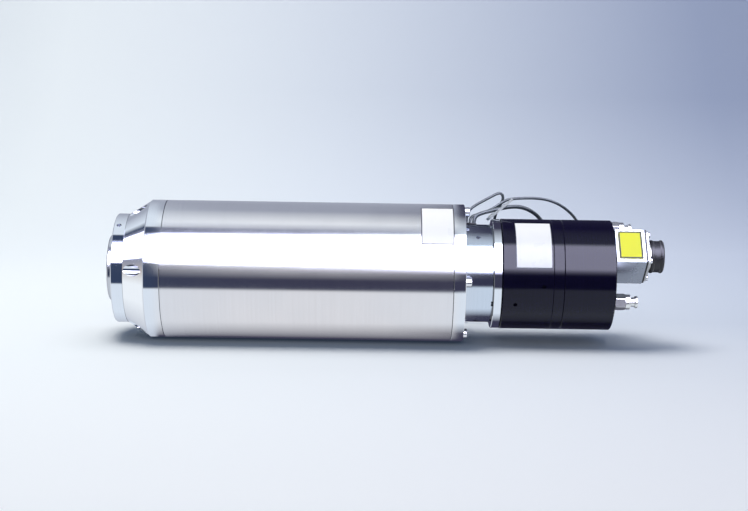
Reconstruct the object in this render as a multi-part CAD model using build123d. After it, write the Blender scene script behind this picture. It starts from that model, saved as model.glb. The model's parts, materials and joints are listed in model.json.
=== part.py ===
from build123d import *
from math import cos, radians, sin, tan
import os

# An automatic-tool-change milling motor spindle, lying on its round body.
# The spindle axis is X: the nose looks to -X and the drawbar cylinder to +X.
# Places round the axis are angles seen along +X: 0 is the front (-Y) and 90 is the top (+Z).
# The origin is on the axis, half way along the body sleeve. All sizes are in millimetres.

os.makedirs("parts", exist_ok=True)

# Body sleeve and its jacket
body_d = 125.0
sleeve_len = 259.0
sleeve_bore = body_d - 25.0
edge_bevel = 0.4
jacket_bore = sleeve_bore - 12.0
jacket_front_gap = 8.0
jacket_rear_gap = 4.5
channel_depth = 2.2
channel_width = 7.0
channel_count = 8
o_ring_d = 3.0

# Front flange
flange_rim = 14.8
cone_len = 19.4
cone_large_d = body_d - 2.0
cone_small_d = cone_large_d - 24.4
front_spigot_len = 21.5
flange_screw_pcd = body_d - 15.0
flange_screw_count = 5
flange_screw_start = 5.0
flange_screw_depth = 12.0
counterbore_d = 10.4
counterbore_floor = 10.5

# Front ring, screwed on with a pin spanner
ring_len = 10.7
ring_d = cone_small_d + 0.4
ring_thread_d = ring_d - 19.0
ring_thread_len = 4.0
ring_bevel = 0.8
spanner_hole_shift = 0.6
spanner_hole_d = 4.3
spanner_hole_depth = 6.0
spanner_hole_at = 57.4

# Rotor shaft
nose_d = 61.0
nose_out = 6.5
nose_in = 5.0
nose_bevel = 1.2
shoulder_d = 54.0
front_seat_d = 45.0
rotor_seat_d = 40.0
rear_seat_d = 35.0
shaft_rear_in = 7.5
seat_past_nut = 3.0
taper_mouth_d = 31.75
taper_mouth_bevel = 1.0
taper_len = 48.0
taper_ratio = 7.0 / 24.0
gripper_bore_d = 20.0
gripper_relief_d = 24.0
gripper_relief_len = 6.5
gripper_relief_ramp = 1.2
gripper_bore_len = 38.0
rod_bore_d = 13.0
rod_bore_len = 34.9
spring_bore_d = 26.0
labyrinth_gap = 0.3

# Gripper: four fingers that pull the holder's stud
gripper_front_gap = 0.8
gripper_back_gap = 0.6
gripper_mouth_d = 11.2
gripper_room_d = 13.4
gripper_lip = 2.5
gripper_land = 5.0
gripper_waist = 1.3
gripper_foot = 6.0
gripper_foot_in = 8.0
gripper_slot = 1.4
gripper_start = 45.0

# Drawbar and its disc springs
drawbar_d = 12.0
drawbar_rear_d = 16.0
drawbar_play = 0.1
drawbar_out = 12.7
collar_d = spring_bore_d - 1.0
collar_len = 12.0
collar_in = 22.0
disc_count = 64
disc_d = spring_bore_d - 1.2
disc_bore = 12.6
disc_lean = 0.7
disc_gap = 0.06

# Bearings
front_bearing_od = 75.0
bearing_front_in = 12.0
front_bearing_w = 16.0
front_bearing_gap = 4.0
rear_bearing_od = 62.0
rear_bearing_w = 14.0
ball_share = 0.58
ball_count = 12
ball_gap = 0.06
race_lip = 0.30
nut_len = 9.0
nut_wall = 6.0
nut_slot = 5.0
retainer_len = 6.0
retainer_wall = 7.5
retainer_slot = 5.0
spacer_wall = 5.0
outer_spacer_wall = 6.0
rear_bearing_in = 5.5

# Motor
motor_front_gap = 14.7
motor_rear_gap = 9.2
stator_bore = 50.0
slot_count = 18
slot_width = 3.6
slot_depth = 11.0
slot_mouth = 1.4
slot_land = 1.5
winding_out = 18.0
winding_over = 1.0
winding_bevel = 3.0
winding_gap = 0.3
air_gap = 0.5

# Rear flange
rear_flange_len = 10.8
rear_spigot_len = 57.0
rear_screw_r = body_d / 2 - 6.5
rear_screw_count = 4
rear_screw_start = 89.0
rear_screw_depth = 12.0
neck_screw_thread = 9.0
cable_room_d = 50.0

# Sensor housing between the rear flange and the cylinder
neck_len = 25.2
neck_d = 89.0
neck_room_d = 56.0
neck_wall_len = 5.0
neck_hole_gap = 6.0
neck_groove = 1.6
neck_groove_depth = 1.0
sensor_d = 6.5
sensor_from_r = 16.0
sensor_to_r = 38.0
sensor_end_gap = 1.2
sensor_places = ((11.7, 53.0), (11.7, 173.0), (11.7, 293.0))
set_screw_d = 4.0
set_screw_depth = 2.2
set_screw_key = 2.2
set_screw_key_depth = 1.5
outlet_d = 9.6
outlet_from_neck = 6.4
outlet_collar_d = 11.6
outlet_collar_out = 1.2
outlet_plug_len = 7.0
outlet_at = 105.0
sensor_ring_d = 30.0
sensor_ring_w = 6.0
sensor_ring_in = 4.0

# Drawbar cylinder
cylinder_d = 100.0
cylinder_bore = 66.0
rod_flange_d = 99.4
rod_flange_len = 8.2
rod_flange_front_bevel = 0.5
rod_flange_rear_bevel = 1.2
body_bevel = 0.35
rear_bevel = 0.6
front_body_len = 45.0
mid_plate_len = 9.4
rear_body_len = 45.9
rear_wall = 10.0
rod_d = 26.0
rod_seal_w = 2.8
rod_seal_wall = 2.9
rod_seal_in = 2.6
mid_seal_in = 3.3
tie_screw_r = 39.5
tie_screw_count = 5
tie_screw_head_sink = 6.0
tie_screw_thread = 9.0
side_hole_d = 3.6
side_hole_depth = 3.0
side_hole_places = ((11.4, -26.0), (36.1, -5.5))
piston_w = 14.0
piston_bevel = 1.0
piston_rear_gap = 3.0
piston_groove_in = 5.0
piston_groove_w = 4.0
piston_groove_depth = 4.0
rod_gap = 1.0
rod_pad_d = 14.0
rod_pad_len = 3.0
rod_step_len = 2.0
rod_taper_len = 4.0
rod_taper = 1.0
lead_r = 38.5
lead_d = 5.0
lead_hole_d = 6.0
lead_past = 6.0

# Connector box, set towards one side of the cylinder's rear face
box_at = 40.6
box_r = 31.6
box_side = 35.8
box_len = 26.1
box_wall = 4.0
box_floor = 5.0
box_corner = 1.0
box_room_corner = 1.5
box_post = 7.0
box_screw_spread = 9.0
box_screw_len = 11.0
gasket_len = 1.6
gasket_inset = 0.2
gasket_corner = 2.0
socket_flange_len = 2.0
socket_flange_inset = 1.1
socket_flange_corner = 2.5
socket_screw_len = 9.0
socket_d = 25.4
socket_len = 8.2
socket_wall = 1.8
insert_len = 6.0
insert_in = 2.0
pin_d = 1.8
pin_circle = 12.0
pin_count = 6
pin_in = 3.0
pin_out = 5.0
cap_d = 29.6
cap_len = 11.8
cap_wall = 2.0
cap_gap = 0.15
cap_waist = 0.7
cap_front_rim = 2.2
cap_rear_rim = 2.4
cap_ramp = 1.1
cap_front_bevel = 0.5
cap_rear_bevel = 1.1
socket_screw_spread = 13.6

# Push-in air fittings, for tube of 6 mm
fitting_r = 42.4
fitting_spread = 67.0
fitting_hex = 13.0
fitting_hex_len = 9.4
fitting_crown_d = 14.8
fitting_bevel = 0.8
fitting_round_d = 13.4
fitting_round_len = 4.6
fitting_stub_d = 9.6
fitting_stub_len = 6.5
tube_d = 6.0
tube_clear = 0.05
air_hole_d = 3.2
collar_stem_d = 8.2
collar_head_d = 10.6
collar_head_len = 2.6
collar_stem_out = 6.4
collar_stem_in = 6.0
collar_edge = 0.4
collar_travel = 1.2

# Fasteners: thread, head diameter, head height, socket across flats
M5 = (5.0, 8.5, 5.0, 4.0)
M3 = (3.0, 5.5, 1.9, 2.0)
M5_clear_d = 5.5
M3_clear_d = 3.4
head_bevel = 0.4
key_depth_share = 0.7

# Clearances
snug = 0.03
thread_gap = 0.06
slide_gap = 0.05
face_gap = 0.3
seal_gap = 0.1
head_gap = 0.5
hole_end_gap = 1.0

# Sensor cables, each a metre long: where each one leaves the grommet, how thick it is,
# and the middle and the turns side by side of the coil that its spare length is wound into
cable_exit_x = (150.1, 146.5, 143.3)
cable_d = (3.6, 2.6, 2.6)
coil_x = (70.0, 24.0, 117.0)
coil_y = (85.4, 99.58, 85.2)
coil_turns_wide = (2.0, 2.0, 3.0)
coil_layers = 3
coil_mean_r = 5.5
coil_spacing = 1.05
table_z = -body_d / 2
table_gap = 0.05

# Cable tie: a loop round two of the cables, seen on its edge from the front, and its free end
tie_middle = (171.65, 20.2, 54.7)
tie_slant = 39.9
tie_tilt = 7.0
tie_len = 23.0
tie_depth = 16.9
tie_corner = 3.5
tie_thick = 1.1
tie_width = 2.4
tie_end_len = 18.0
tie_head_len = 4.6
tie_head_deep = 3.4

# Routes of the cables on their own points, from the grommet to the coil
cable_routes = (
    (
        (150.3, 13.0, 48.7), (153.0, 14.1, 51.9), (158.4, 15.0, 54.0), (166.0, 15.8, 55.9),
        (174.2, 16.1, 58.1), (184.0, 17.2, 59.9), (193.5, 20.2, 59.6), (202.0, 25.1, 56.4),
        (210.2, 34.0, 50.8), (216.8, 43.6, 43.0), (221.6, 52.8, 33.0), (224.6, 61.4, 21.4),
        (225.8, 69.4, 8.6), (225.2, 76.8, -4.8), (222.6, 83.8, -18.0), (217.6, 90.2, -30.6),
        (210.0, 96.0, -42.0), (199.6, 100.8, -51.2), (186.8, 104.6, -57.4), (172.4, 107.4, -60.2),
        (157.2, 108.8, -60.6), (134.0, 109.4, -60.65), (102.0, 108.2, -60.65), (70.0, 108.98, -60.65),
    ),
    (
        (146.6, 14.1, 47.8), (148.4, 16.9, 50.3), (152.8, 18.7, 51.9), (158.6, 19.6, 53.6),
        (164.6, 20.1, 55.8), (170.4, 20.6, 59.1), (175.4, 20.7, 62.7), (180.8, 20.8, 66.0),
        (187.6, 20.5, 67.2), (195.8, 20.6, 67.6), (204.8, 22.0, 67.7), (215.0, 24.7, 66.9),
        (227.8, 29.9, 63.0), (239.2, 37.4, 55.5), (248.4, 47.2, 46.4), (254.4, 55.6, 35.8),
        (258.2, 63.6, 23.6), (259.8, 71.2, 10.6), (259.6, 78.6, -3.0), (257.4, 86.0, -16.4),
        (252.8, 93.0, -29.4), (245.6, 99.4, -41.0), (235.6, 105.0, -50.6), (223.2, 109.6, -57.4),
        (209.2, 113.2, -60.7), (194.4, 115.8, -61.15), (172.0, 117.6, -61.15), (140.0, 117.8, -61.15),
        (104.0, 116.2, -61.15), (66.0, 117.3, -61.15), (24.0, 116.61, -61.15),
    ),
    (
        (143.4, 13.3, 51.0), (145.8, 15.0, 56.6), (151.8, 17.4, 60.9), (159.4, 19.9, 64.9),
        (166.6, 21.9, 68.6), (171.2, 23.0, 71.0), (175.4, 23.8, 72.0), (177.7, 23.9, 68.2),
        (176.2, 24.0, 62.8), (173.6, 24.5, 58.1), (171.4, 24.5, 53.2), (170.2, 26.6, 47.9),
        (169.8, 32.6, 42.4), (170.0, 40.4, 36.8), (170.4, 48.8, 30.4), (170.8, 57.2, 22.8),
        (171.0, 65.0, 13.8), (170.8, 72.2, 3.2), (170.2, 78.6, -8.4), (168.8, 84.2, -20.6),
        (166.2, 89.0, -32.8), (161.8, 93.2, -44.2), (155.2, 97.0, -53.4), (145.4, 100.4, -59.4),
        (131.8, 102.6, -61.15), (117.0, 103.4, -61.15),
    ),
)

# Places along the axis
sleeve_front = -sleeve_len / 2
sleeve_rear = sleeve_len / 2
rim_front = sleeve_front - flange_rim
cone_front = rim_front - cone_len
ring_front = cone_front - ring_len
nose_face = ring_front - nose_out
nose_back = ring_front + nose_in
bearing_front = cone_front + bearing_front_in
bearing_mid = bearing_front + front_bearing_w
bearing_second = bearing_mid + front_bearing_gap
front_nut = bearing_second + front_bearing_w
front_spigot_end = sleeve_front + front_spigot_len
rear_spigot_end = sleeve_rear - rear_spigot_len
jacket_front = front_spigot_end + jacket_front_gap
jacket_rear = rear_spigot_end - jacket_rear_gap
winding_front = front_spigot_end + motor_front_gap
winding_rear = rear_spigot_end - motor_rear_gap
stator_middle = (winding_front + winding_rear) / 2
stator_len = winding_rear - winding_front - 2 * (winding_out + winding_gap)
rear_bearing = rear_spigot_end + rear_bearing_in
rear_nut = rear_bearing + 2 * rear_bearing_w
shaft_rear = sleeve_rear - shaft_rear_in
socket_end = nose_face + taper_len
gripper_end = socket_end + gripper_bore_len
spring_bore_front = gripper_end + rod_bore_len
spring_end = shaft_rear - collar_in
neck_front = sleeve_rear + rear_flange_len
rod_flange_front = neck_front + neck_len
front_body_front = rod_flange_front + rod_flange_len
mid_plate_front = front_body_front + front_body_len
rear_body_front = mid_plate_front + mid_plate_len
rear_face = rear_body_front + rear_body_len
chamber_end = rear_face - rear_wall
drawbar_end = neck_front + drawbar_out


# ---------------------------------------------------------------- helpers
def turned(*points):
    """A body turned about X from (x, radius) points."""
    profile = make_face(Polyline(*points, close=True))
    return revolve(profile, Axis.X, 360)


def tube(x0, x1, outer_d, inner_d):
    return turned((x0, inner_d / 2), (x1, inner_d / 2), (x1, outer_d / 2), (x0, outer_d / 2))


def rod(x0, x1, d, r=0.0, at=0.0):
    """A round bar along X, its axis r from the spindle axis at an angle."""
    y = -r * cos(radians(at))
    z = r * sin(radians(at))
    return Pos((x0 + x1) / 2, y, z) * Rot(0, 90, 0) * Cylinder(d / 2, abs(x1 - x0))


def spoke(x, r0, r1, d, at):
    """A round bar that points away from the spindle axis."""
    return Rot(-at, 0, 0) * Pos(x, -(r0 + r1) / 2, 0) * Rot(90, 0, 0) * Cylinder(d / 2, r1 - r0)


def around(count, start=0.0):
    return [start + 360.0 * k / count for k in range(count)]


def neck_screw_angles():
    """Half way between the tie screws, but not where the leads and the cable outlet pass."""
    return around(tie_screw_count, box_at)[2:]


def cap_screw(size, seat, length, r, at, way=1):
    """A socket cap screw along X: its head stands on seat and looks to way, its shank goes back."""
    thread, head_d, head_h, key = size
    head = chamfer(Cylinder(head_d / 2, head_h).edges().group_by(Axis.Z)[-1], head_bevel)
    key_hole = extrude(RegularPolygon(key / 2, 6, major_radius=False), head_h)
    key_hole = Pos(0, 0, head_h / 2 - key_depth_share * head_h) * key_hole
    shank = Pos(0, 0, -length / 2) * Cylinder(thread / 2, length)
    screw = Pos(0, 0, head_h / 2) * (head - key_hole) + shank
    y = -r * cos(radians(at))
    z = r * sin(radians(at))
    return Pos(seat, y, z) * Rot(0, 90 * way, 0) * screw


def save(name, *solids):
    """Writes one node. Several solids stay apart in it."""
    body = solids[0]
    if len(solids) > 1:
        body = Compound(children=[piece.solid() for piece in solids])
    export_step(body, f"parts/{name}.step")


# ---------------------------------------------------------------- body
def body_sleeve():
    r, b, i = body_d / 2, edge_bevel, sleeve_bore / 2
    part = turned(
        (sleeve_front, i), (sleeve_rear, i), (sleeve_rear, r - b), (sleeve_rear - b, r),
        (sleeve_front + b, r), (sleeve_front, r - b),
    )
    hole = M5[0] + 2 * thread_gap
    for at in around(flange_screw_count, flange_screw_start):
        deep = sleeve_front + flange_screw_depth + hole_end_gap
        part -= rod(sleeve_front, deep, hole, flange_screw_pcd / 2, at)
    for at in around(rear_screw_count, rear_screw_start):
        deep = sleeve_rear - rear_screw_depth - hole_end_gap
        part -= rod(deep, sleeve_rear, hole, rear_screw_r, at)
    return part


def o_ring_places():
    edge = 2.5 * o_ring_d
    return (jacket_front + edge, jacket_rear - edge)


def cooling_jacket():
    """An aluminium liner with coolant channels turned in its outside and an O-ring groove at each end."""
    d = sleeve_bore - 2 * snug
    part = tube(jacket_front, jacket_rear, d, jacket_bore)
    first, last = o_ring_places()
    pitch = (last - first) / channel_count
    for k in range(channel_count):
        middle = first + pitch * (k + 0.5)
        part -= tube(middle - channel_width / 2, middle + channel_width / 2, d + 1, d - 2 * channel_depth)
    half = o_ring_d / 2 + 4 * seal_gap
    for x in (first, last):
        part -= tube(x - half, x + half, d + 1, sleeve_bore - 2 * o_ring_d)
    return part


def jacket_o_rings():
    return [
        Pos(x, 0, 0) * Rot(0, 90, 0) * Torus((sleeve_bore - o_ring_d) / 2 - snug / 2, o_ring_d / 2 - snug)
        for x in o_ring_places()
    ]


# ---------------------------------------------------------------- motor
def slot_bar(width, r0, r1, length, at):
    return Rot(-at, 0, 0) * Pos(stator_middle, -(r0 + r1) / 2, 0) * Box(length, r1 - r0, width)


def stator_core():
    """A slotted lamination stack."""
    half = stator_len / 2
    part = tube(stator_middle - half, stator_middle + half, jacket_bore - 2 * snug, stator_bore)
    r0 = stator_bore / 2 + slot_land
    for at in around(slot_count):
        part -= slot_bar(slot_width, r0, r0 + slot_depth, stator_len + 2, at)
        part -= slot_bar(slot_mouth, stator_bore / 2 - 1, r0 + 1, stator_len + 2, at)
    return part


def stator_winding():
    """Copper bars in the slots, joined by an end turn at each end."""
    r0 = stator_bore / 2 + slot_land + winding_gap
    r1 = r0 + slot_depth - 2 * winding_gap
    top = r1 + winding_over
    half = stator_len / 2 + winding_gap
    b = winding_bevel
    ends = []
    for side in (-1, 1):
        x0 = stator_middle + side * half
        x1 = x0 + side * winding_out
        ends.append(turned(
            (x0, r0), (x0, top), (x1 - side * b, top), (x1, top - b), (x1, r0 + b), (x1 - side * b, r0),
        ))
    part = ends[0] + ends[1]
    for at in around(slot_count):
        part += slot_bar(slot_width - 2 * winding_gap, r0, r1, 2 * half + 2, at)
    return part


def rotor_core():
    half = stator_len / 2
    return tube(stator_middle - half, stator_middle + half, stator_bore - 2 * air_gap, rotor_seat_d + 2 * snug)


# ---------------------------------------------------------------- bearings
def bearing(x, bore, outer, width):
    """Outer ring, inner ring and balls of one angular-contact bearing whose front face is at x."""
    d, big = bore + 2 * snug, outer - 2 * snug
    section = (outer - bore) / 2
    ball = ball_share * section / 2
    pitch = (outer + bore) / 4
    track = ball + ball_gap
    middle = x + width / 2
    land = race_lip * section / 2
    groove = Pos(middle, 0, 0) * Rot(0, 90, 0) * Torus(pitch, track)
    outer_ring = tube(x, x + width, big, 2 * (pitch + land)) - groove
    inner_ring = tube(x, x + width, 2 * (pitch - land), d) - groove
    balls = [
        Rot(-at, 0, 0) * Pos(middle, -pitch, 0) * Sphere(ball)
        for at in around(ball_count)
    ]
    return outer_ring, inner_ring, balls


def bearing_set(places, bore, outer, width):
    outers, inners, balls = [], [], []
    for x in places:
        o, i, b = bearing(x, bore, outer, width)
        outers.append(o)
        inners.append(i)
        balls += b
    return outers, inners, balls


def inner_spacer():
    big = front_seat_d + 2 * spacer_wall
    return tube(bearing_mid, bearing_second, big, front_seat_d + 2 * snug)


def outer_spacer():
    small = front_bearing_od - 2 * outer_spacer_wall
    return tube(bearing_mid, bearing_second, front_bearing_od - 2 * snug, small)


def shaft_nut(x, seat_d):
    part = tube(x, x + nut_len, seat_d + 2 * nut_wall, seat_d + 2 * thread_gap)
    for at in around(4):
        rim = Rot(-at, 0, 0) * Pos(x + nut_len, -(seat_d / 2 + nut_wall), 0)
        part -= rim * Box(nut_len, nut_slot, nut_slot)
    return part


# ---------------------------------------------------------------- shaft
def spindle_shaft():
    """Hollow shaft: 7:24 taper socket at the nose, gripper bore, then the bore for the disc springs."""
    small = taper_mouth_d - taper_len * taper_ratio
    mouth = taper_mouth_bevel
    return turned(
        (nose_face, taper_mouth_d / 2 + mouth),
        (nose_face, nose_d / 2 - nose_bevel),
        (nose_face + nose_bevel, nose_d / 2),
        (nose_back, nose_d / 2),
        (nose_back, shoulder_d / 2),
        (bearing_front, shoulder_d / 2),
        (bearing_front, front_seat_d / 2),
        (front_nut + nut_len + seat_past_nut, front_seat_d / 2),
        (front_nut + nut_len + seat_past_nut, rotor_seat_d / 2),
        (rear_bearing, rotor_seat_d / 2),
        (rear_bearing, rear_seat_d / 2),
        (shaft_rear, rear_seat_d / 2),
        (shaft_rear, spring_bore_d / 2),
        (spring_bore_front, spring_bore_d / 2),
        (spring_bore_front, rod_bore_d / 2),
        (gripper_end, rod_bore_d / 2),
        (gripper_end, gripper_bore_d / 2),
        (socket_end + gripper_relief_len, gripper_bore_d / 2),
        (socket_end + gripper_relief_len - gripper_relief_ramp, gripper_relief_d / 2),
        (socket_end + head_gap, gripper_relief_d / 2),
        (socket_end, small / 2),
        (nose_face + mouth, (taper_mouth_d - mouth * taper_ratio) / 2),
    )


def gripper():
    """A collet that pulls the tool holder's stud: two cuts right across it make its four fingers."""
    tip = socket_end + gripper_relief_len + gripper_front_gap
    back = gripper_end - gripper_back_gap
    foot = back - gripper_foot_in
    outer = gripper_bore_d / 2 - slide_gap
    waist = outer - gripper_waist
    mouth = gripper_mouth_d / 2
    room = gripper_room_d / 2
    bar = drawbar_d / 2 + drawbar_play
    step = gripper_waist
    part = turned(
        (tip, mouth), (tip, outer - step), (tip + step, outer), (tip + gripper_land, outer),
        (tip + gripper_land + step, waist), (back - gripper_foot - step, waist),
        (back - gripper_foot, outer),
        (back, outer), (back, bar), (foot, bar), (foot, room), (tip + gripper_lip + room - mouth, room),
        (tip + gripper_lip, mouth),
    )
    cut = Box(foot - tip + 2, gripper_bore_d + 2, gripper_slot)
    for at in (gripper_start, gripper_start + 90):
        part -= Rot(-at, 0, 0) * Pos((tip + foot) / 2 - 3, 0, 0) * cut
    return part


def drawbar():
    """The bar from the gripper's foot to the cylinder's rod, with the collar that the springs push."""
    front = gripper_end - gripper_back_gap - gripper_foot_in
    collar_end = spring_end + collar_len
    return turned(
        (front, 0), (front, drawbar_d / 2), (spring_end, drawbar_d / 2), (spring_end, collar_d / 2),
        (collar_end, collar_d / 2), (collar_end, drawbar_rear_d / 2), (drawbar_end, drawbar_rear_d / 2),
        (drawbar_end, 0),
    )


def disc_springs():
    """Disc springs in facing pairs, between the shaft's shoulder and the drawbar's collar."""
    pitch = (spring_end - spring_bore_front) / disc_count
    thick = pitch - disc_lean - 2 * disc_gap
    r0, r1 = disc_bore / 2, disc_d / 2
    discs = []
    for k in range(disc_count):
        a = spring_bore_front + pitch * k + disc_gap
        low, high = (a, a + disc_lean) if k % 2 else (a + disc_lean, a)
        discs.append(turned((low, r0), (high, r1), (high + thick, r1), (low + thick, r0)))
    return discs


def sensor_ring():
    x = neck_front + sensor_ring_in
    return tube(x, x + sensor_ring_w, sensor_ring_d, drawbar_rear_d + 2 * snug)


# ---------------------------------------------------------------- front
def front_flange():
    """Cone and rim in one piece with the spigot that holds the front bearings."""
    r, b = body_d / 2, edge_bevel
    part = turned(
        (cone_front - ring_thread_len, shoulder_d / 2 + labyrinth_gap),
        (cone_front - ring_thread_len, ring_thread_d / 2),
        (cone_front, ring_thread_d / 2),
        (cone_front, cone_small_d / 2),
        (rim_front, cone_large_d / 2),
        (rim_front + (r - cone_large_d / 2), r),
        (sleeve_front - b, r),
        (sleeve_front, r - b),
        (sleeve_front, sleeve_bore / 2 - snug),
        (front_spigot_end, sleeve_bore / 2 - snug),
        (front_spigot_end, front_bearing_od / 2),
        (bearing_front, front_bearing_od / 2),
        (bearing_front, shoulder_d / 2 + labyrinth_gap),
    )
    for at in around(flange_screw_count, flange_screw_start):
        floor = sleeve_front - counterbore_floor
        part -= rod(cone_front - 1, floor, counterbore_d, flange_screw_pcd / 2, at)
        part -= rod(cone_front, sleeve_front + 1, M5_clear_d, flange_screw_pcd / 2, at)
    return part


def front_ring():
    lip_front = nose_back + labyrinth_gap
    thread_front = cone_front - ring_thread_len
    part = turned(
        (ring_front, nose_d / 2 + labyrinth_gap),
        (ring_front, ring_d / 2 - ring_bevel),
        (ring_front + ring_bevel, ring_d / 2),
        (cone_front, ring_d / 2),
        (cone_front, ring_thread_d / 2 + thread_gap),
        (thread_front, ring_thread_d / 2 + thread_gap),
        (thread_front, shoulder_d / 2 + labyrinth_gap),
        (lip_front, shoulder_d / 2 + labyrinth_gap),
        (lip_front, nose_d / 2 + labyrinth_gap),
    )
    middle = (ring_front + cone_front) / 2 - spanner_hole_shift
    for at in around(2, spanner_hole_at):
        part -= spoke(middle, ring_d / 2 - spanner_hole_depth, ring_d / 2 + 2, spanner_hole_d, at)
    return part


def front_bearing_retainer():
    """A threaded ring that clamps the outer rings of the front bearings."""
    end = front_nut + retainer_len
    bore = front_bearing_od - 2 * retainer_wall
    part = tube(front_nut, end, front_bearing_od - 2 * thread_gap, bore)
    for at in around(4, 45):
        rim = Rot(-at, 0, 0) * Pos(end, -bore / 2, 0)
        part -= rim * Box(retainer_slot, retainer_len, retainer_slot)
    return part


# ---------------------------------------------------------------- rear flange and sensor housing
def rear_flange():
    """Rear cover with the housing of the rear bearings turned on it."""
    r, b = body_d / 2, edge_bevel
    part = turned(
        (rear_spigot_end, rear_bearing_od / 2),
        (rear_spigot_end, sleeve_bore / 2 - snug),
        (sleeve_rear, sleeve_bore / 2 - snug),
        (sleeve_rear, r - b),
        (sleeve_rear + b, r),
        (neck_front - b, r),
        (neck_front, r - b),
        (neck_front, cable_room_d / 2),
        (rear_nut, cable_room_d / 2),
        (rear_nut, rear_bearing_od / 2),
    )
    for at in around(rear_screw_count, rear_screw_start):
        part -= rod(sleeve_rear - 1, neck_front + 1, M5_clear_d, rear_screw_r, at)
    for at in neck_screw_angles():
        part -= rod(neck_front - neck_screw_thread, neck_front, M5[0] + 2 * thread_gap, tie_screw_r, at)
    part -= rod(rear_spigot_end - 1, neck_front + 1, lead_hole_d, lead_r, box_at)
    return part


def sensor_housing():
    part = tube(neck_front, rod_flange_front, neck_d, neck_room_d)
    groove_d = neck_d - 2 * neck_groove_depth
    part -= tube(rod_flange_front - neck_groove, rod_flange_front + 1, neck_d + 1, groove_d)
    back_wall = rod_flange_front - neck_wall_len
    part += tube(back_wall, rod_flange_front, neck_room_d + 2, rod_d + 2 * neck_hole_gap)
    inside = neck_room_d / 2 - 3
    for x, at in sensor_places:
        part -= spoke(neck_front + x, inside, sensor_to_r, sensor_d + 2 * slide_gap, at)
        part -= spoke(neck_front + x, sensor_to_r - 1, neck_d / 2 + 1, set_screw_d + 2 * thread_gap, at)
    part -= spoke(neck_front + outlet_from_neck, inside, neck_d / 2 + 1, outlet_d, outlet_at)
    for at in neck_screw_angles():
        part -= rod(neck_front - 1, rod_flange_front + 1, M5_clear_d, tie_screw_r, at)
        part -= rod(neck_screw_seat(), rod_flange_front + 1, M5[1] + 2 * head_gap, tie_screw_r, at)
    thread_front = rod_flange_front - tie_screw_thread - hole_end_gap
    for hole in tie_holes(thread_front, rod_flange_front + 1, M5[0] + 2 * thread_gap):
        part -= hole
    return part - lead_hole(neck_front - 1, rod_flange_front + 1)


def neck_screw_seat():
    return rod_flange_front - M5[2] - hole_end_gap


def sensor_housing_screws():
    seat = neck_screw_seat()
    length = seat - neck_front + neck_screw_thread - hole_end_gap
    return [cap_screw(M5, seat, length, tie_screw_r, at) for at in neck_screw_angles()]


def proximity_sensors():
    end = sensor_to_r - sensor_end_gap
    return [spoke(neck_front + x, sensor_from_r, end, sensor_d, at) for x, at in sensor_places]


def sensor_set_screws():
    top = neck_d / 2 - set_screw_depth
    return [
        spoke(neck_front + x, sensor_to_r - 1, top, set_screw_d, at)
        - spoke(neck_front + x, top - set_screw_key_depth, neck_d / 2, set_screw_key, at)
        for x, at in sensor_places
    ]


def cable_grommet():
    x = neck_front + outlet_from_neck
    r = neck_d / 2
    part = spoke(x, r - outlet_plug_len, r + outlet_collar_out, outlet_d - 2 * snug, outlet_at)
    return part + spoke(x, r + snug, r + outlet_collar_out, outlet_collar_d, outlet_at)


# ---------------------------------------------------------------- sensor cables
def cable_exit(k):
    r = neck_d / 2 + outlet_collar_out
    return (cable_exit_x[k], -r * cos(radians(outlet_at)), r * sin(radians(outlet_at)))


def sensor_cable(k):
    """Straight runs joined by arcs as large as the runs allow."""
    points = [Vector(*p) for p in (cable_exit(k), *cable_routes[k])]
    radii = []
    for before, here, after in zip(points, points[1:], points[2:]):
        one, two = here - before, after - here
        turn = radians(one.get_angle(two))
        radii.append(0.45 * min(one.length, two.length) / tan(turn / 2))
    path = FilletPolyline(*points, radius=radii)
    print(f"cable {k + 1}: {path.length:.0f} mm")
    section = Plane(origin=path @ 0, z_dir=path % 0) * Circle(cable_d[k] / 2)
    return sweep(section, path)


def sensor_cable_coil(k):
    """The outer shape of the turns that lie beside and on each other."""
    d = cable_d[k]
    half_width = coil_turns_wide[k] * coil_spacing * d / 2 + d / 2
    height = coil_layers * d
    r = coil_mean_r * d
    ring = Cylinder(r + half_width, height) - Cylinder(r - half_width, height)
    ring = chamfer(ring.edges().filter_by(GeomType.CIRCLE), d / 4)
    return Pos(coil_x[k], coil_y[k], table_z + table_gap + height / 2) * ring


def cable_tie():
    """A strap in a loose loop, with its locking head at the back and its free end at the front."""
    along = Vector(cos(radians(tie_slant)), 0, sin(radians(tie_slant))).rotate(Axis.X, -tie_tilt)
    away = Vector(0, 1, 0).rotate(Axis.X, -tie_tilt)
    plane = Plane(origin=tie_middle, x_dir=along, z_dir=along.cross(away))
    inside = RectangleRounded(tie_len - 2 * tie_thick, tie_depth - 2 * tie_thick, tie_corner - tie_thick)
    loop = RectangleRounded(tie_len, tie_depth, tie_corner) - inside
    strap = extrude(plane * loop, tie_width / 2, both=True)
    front = (tie_thick - tie_depth) / 2
    back = (tie_depth + tie_head_deep - tie_thick) / 2
    strap += plane * Pos(tie_end_len / 2, front, 0) * Box(tie_end_len, tie_thick, tie_width)
    return strap + plane * Pos(-tie_len / 4, back, 0) * Box(tie_head_len, tie_head_deep, tie_width + 1)


# ---------------------------------------------------------------- drawbar cylinder
def tie_screw_angles():
    return around(tie_screw_count, box_at + 36)


def tie_holes(x0, x1, d=M5_clear_d):
    return [rod(x0, x1, d, tie_screw_r, at) for at in tie_screw_angles()]


def seal_groove(x):
    """The groove for a rod seal whose front face is at x."""
    big = rod_d + 2 * (rod_seal_wall + seal_gap)
    return tube(x - seal_gap, x + rod_seal_w + seal_gap, big, rod_d)


def lead_hole(x0, x1):
    return rod(x0, x1, lead_hole_d, lead_r, box_at)


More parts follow.
